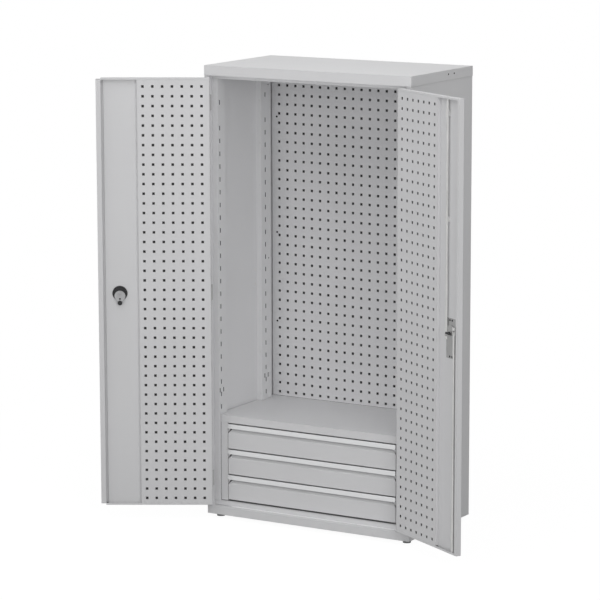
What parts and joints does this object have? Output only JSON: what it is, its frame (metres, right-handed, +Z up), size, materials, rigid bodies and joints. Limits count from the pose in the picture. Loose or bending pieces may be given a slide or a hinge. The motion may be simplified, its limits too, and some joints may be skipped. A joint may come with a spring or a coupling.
{
  "type": "tall tool cabinet with perforated double doors",
  "caption": "Tall steel tool cabinet with double doors opened wide, perforated door linings and back panel, shelf, and drawers with full-width handles at the bottom.",
  "frame": {"origin": "on the floor, in the middle of the cabinet's footprint and of its four feet", "axes": "+Z up, -Y towards the front where the doors are, +X to the right seen from the front"},
  "size_m": [1.6015, 0.7468, 1.8],
  "materials": {
    "light_grey_paint": "satin powder coat with a fine grain",
    "bright_zinc_steel": "bright zinc plated",
    "drawn_aluminium": "satin anodised extrusion",
    "black_plastic": "moulded, matt",
    "grey_plastic": "moulded, matt",
    "black_screw_steel": "black coated steel screw"
  },
  "bodies": {
    "carcass": {"top_cover": "light_grey_paint", "top_rail": "light_grey_paint", "base_frame": "light_grey_paint", "floor_plate": "light_grey_paint", "left_side_skin": "light_grey_paint", "right_side_skin": "light_grey_paint", "side_liners": "light_grey_paint", "front_posts": "light_grey_paint", "rear_uprights": "light_grey_paint", "back_skin": "light_grey_paint", "back_perforated_panel": "light_grey_paint", "back_panel_brackets": "light_grey_paint", "back_panel_screws": "black_screw_steel", "cover_screws": "black_screw_steel", "hinge_frame_leaves": "bright_zinc_steel", "hinge_pins": "bright_zinc_steel", "foot_plates": "bright_zinc_steel", "foot_studs": "bright_zinc_steel", "foot_pads": "grey_plastic", "drawer_unit_top": "light_grey_paint", "drawer_unit_frame": "light_grey_paint", "drawer_outer_rails": "bright_zinc_steel"},
    "left_door": {"left_door_skin": "light_grey_paint", "left_door_perforated_panel": "light_grey_paint", "left_door_lock_strip": "light_grey_paint", "left_door_hinge_leaves": "bright_zinc_steel", "lock_housing": "black_plastic"},
    "left_lock": {"lock_knob": "bright_zinc_steel", "lock_cam": "bright_zinc_steel", "lock_roller": "black_plastic"},
    "left_lock_cylinder": {"lock_cylinder": "bright_zinc_steel"},
    "right_door": {"right_door_skin": "light_grey_paint", "right_door_perforated_panel": "light_grey_paint", "right_door_lock_strip": "light_grey_paint", "right_door_hinge_leaves": "bright_zinc_steel", "bolt_base_plate": "bright_zinc_steel", "bolt_pivot": "bright_zinc_steel", "rod_guides": "bright_zinc_steel"},
    "bolt_lever": {"bolt_drive": "bright_zinc_steel", "bolt_grip": "black_plastic"},
    "upper_rod": {"upper_lock_rod": "bright_zinc_steel"},
    "lower_rod": {"lower_lock_rod": "bright_zinc_steel"},
    "drawer_1": {"drawer_1_box": "light_grey_paint", "drawer_1_front": "light_grey_paint", "drawer_1_handle": "drawn_aluminium", "drawer_1_inner_rails": "bright_zinc_steel"},
    "drawer_1_middle": {"drawer_1_middle_rails": "bright_zinc_steel"},
    "drawer_2": {"drawer_2_box": "light_grey_paint", "drawer_2_front": "light_grey_paint", "drawer_2_handle": "drawn_aluminium", "drawer_2_inner_rails": "bright_zinc_steel"},
    "drawer_2_middle": {"drawer_2_middle_rails": "bright_zinc_steel"},
    "drawer_3": {"drawer_3_box": "light_grey_paint", "drawer_3_front": "light_grey_paint", "drawer_3_handle": "drawn_aluminium", "drawer_3_inner_rails": "bright_zinc_steel"},
    "drawer_3_middle": {"drawer_3_middle_rails": "bright_zinc_steel"}
  },
  "joints": [
    {"name": "left_door_hinge", "type": "hinge", "parent": "carcass", "child": "left_door", "pos_m": [-0.4313, -0.25545, 0.9073], "axis": [0, 0, -1], "range_deg": [-150, 30]},
    {"name": "right_door_hinge", "type": "hinge", "parent": "carcass", "child": "right_door", "pos_m": [0.4313, -0.25545, 0.9073], "axis": [0, 0, 1], "range_deg": [-150, 30]},
    {"name": "left_lock_turn", "type": "hinge", "parent": "left_door", "child": "left_lock", "pos_m": [-0.72972, -0.44558, 0.909], "axis": [-0.5, 0.866, 0], "range_deg": [0, 90]},
    {"name": "left_key_turn", "type": "hinge", "parent": "left_lock", "child": "left_lock_cylinder", "pos_m": [-0.72972, -0.44558, 0.909], "axis": [-0.5, 0.866, 0], "range_deg": [0, 90]},
    {"name": "bolt_lever_turn", "type": "hinge", "parent": "right_door", "child": "bolt_lever", "pos_m": [0.73751, -0.45008, 0.888], "axis": [0.5, 0.866, 0], "range_deg": [0, 50]},
    {"name": "upper_rod_slide", "type": "slide", "parent": "right_door", "child": "upper_rod", "axis": [0, 0, 1], "range_m": [0, 0.022]},
    {"name": "lower_rod_slide", "type": "slide", "parent": "right_door", "child": "lower_rod", "axis": [0, 0, -1], "range_m": [0, 0.0224]},
    {"name": "drawer_1_slide", "type": "slide", "parent": "carcass", "child": "drawer_1", "axis": [0, -1, 0], "range_m": [0, 0.38]},
    {"name": "drawer_1_middle_slide", "type": "slide", "parent": "carcass", "child": "drawer_1_middle", "axis": [0, -1, 0], "range_m": [0, 0.19]},
    {"name": "drawer_2_slide", "type": "slide", "parent": "carcass", "child": "drawer_2", "axis": [0, -1, 0], "range_m": [0, 0.38]},
    {"name": "drawer_2_middle_slide", "type": "slide", "parent": "carcass", "child": "drawer_2_middle", "axis": [0, -1, 0], "range_m": [0, 0.19]},
    {"name": "drawer_3_slide", "type": "slide", "parent": "carcass", "child": "drawer_3", "axis": [0, -1, 0], "range_m": [0, 0.38]},
    {"name": "drawer_3_middle_slide", "type": "slide", "parent": "carcass", "child": "drawer_3_middle", "axis": [0, -1, 0], "range_m": [0, 0.19]}
  ],
  "couplings": [
    {"joint": "bolt_lever_turn", "follows": "upper_rod_slide", "rad_per_m": 39.66},
    {"joint": "lower_rod_slide", "follows": "upper_rod_slide", "ratio": 1},
    {"joint": "drawer_1_middle_slide", "follows": "drawer_1_slide", "ratio": 0.5},
    {"joint": "drawer_2_middle_slide", "follows": "drawer_2_slide", "ratio": 0.5},
    {"joint": "drawer_3_middle_slide", "follows": "drawer_3_slide", "ratio": 0.5}
  ]
}
